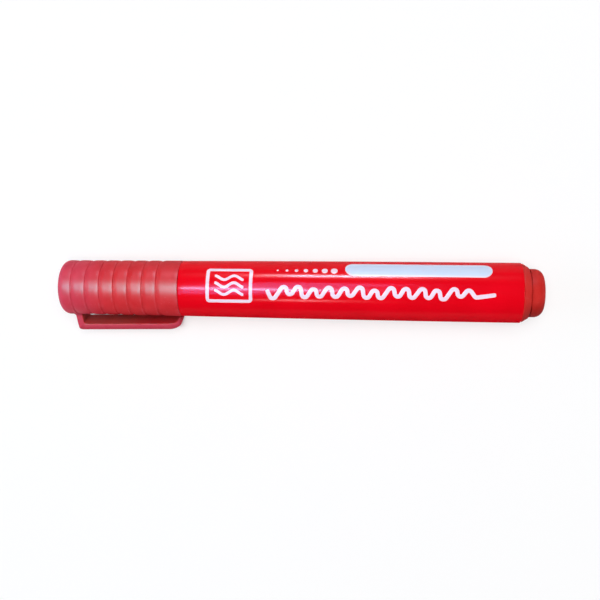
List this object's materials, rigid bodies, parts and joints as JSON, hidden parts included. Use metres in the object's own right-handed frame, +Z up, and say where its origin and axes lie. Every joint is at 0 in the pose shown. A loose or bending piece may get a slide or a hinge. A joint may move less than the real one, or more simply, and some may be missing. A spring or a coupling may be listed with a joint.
{
  "type": "permanent marker",
  "caption": "Round permanent marker lying on its side: pull-off ribbed cap with a pocket clip and sealing liner, glossy barrel, bullet nib fed from a fibre reservoir, and a tail plug.",
  "frame": {"origin": "centre of the marker's footprint on the table it lies on", "axes": "+X along the marker from the cap to the tail, +Z up, the clip on the -Y side and touching the table"},
  "size_m": [0.137, 0.021, 0.0168],
  "materials": {
    "cap_plastic": "satin moulded polypropylene",
    "liner_plastic": "natural polyethylene",
    "barrel_gloss": "polished, lacquered red",
    "holder_plastic": "satin moulded polypropylene",
    "nib_fibre": "bonded polyester fibre soaked with red ink",
    "reservoir_fibre": "bundled polyester fibre soaked with red ink",
    "sleeve_film": "clear film",
    "tail_plastic": "satin moulded polypropylene"
  },
  "bodies": {
    "pen": {"barrel": "barrel_gloss", "nib_holder": "holder_plastic", "nib": "nib_fibre", "ink_reservoir": "reservoir_fibre", "reservoir_sleeve": "sleeve_film", "tail_plug": "tail_plastic"},
    "cap": {"cap": "cap_plastic", "cap_liner": "liner_plastic"}
  },
  "joints": [
    {"name": "cap_pull", "type": "slide", "parent": "pen", "child": "cap", "axis": [-1, 0, 0], "range_m": [0, 0.05]}
  ]
}
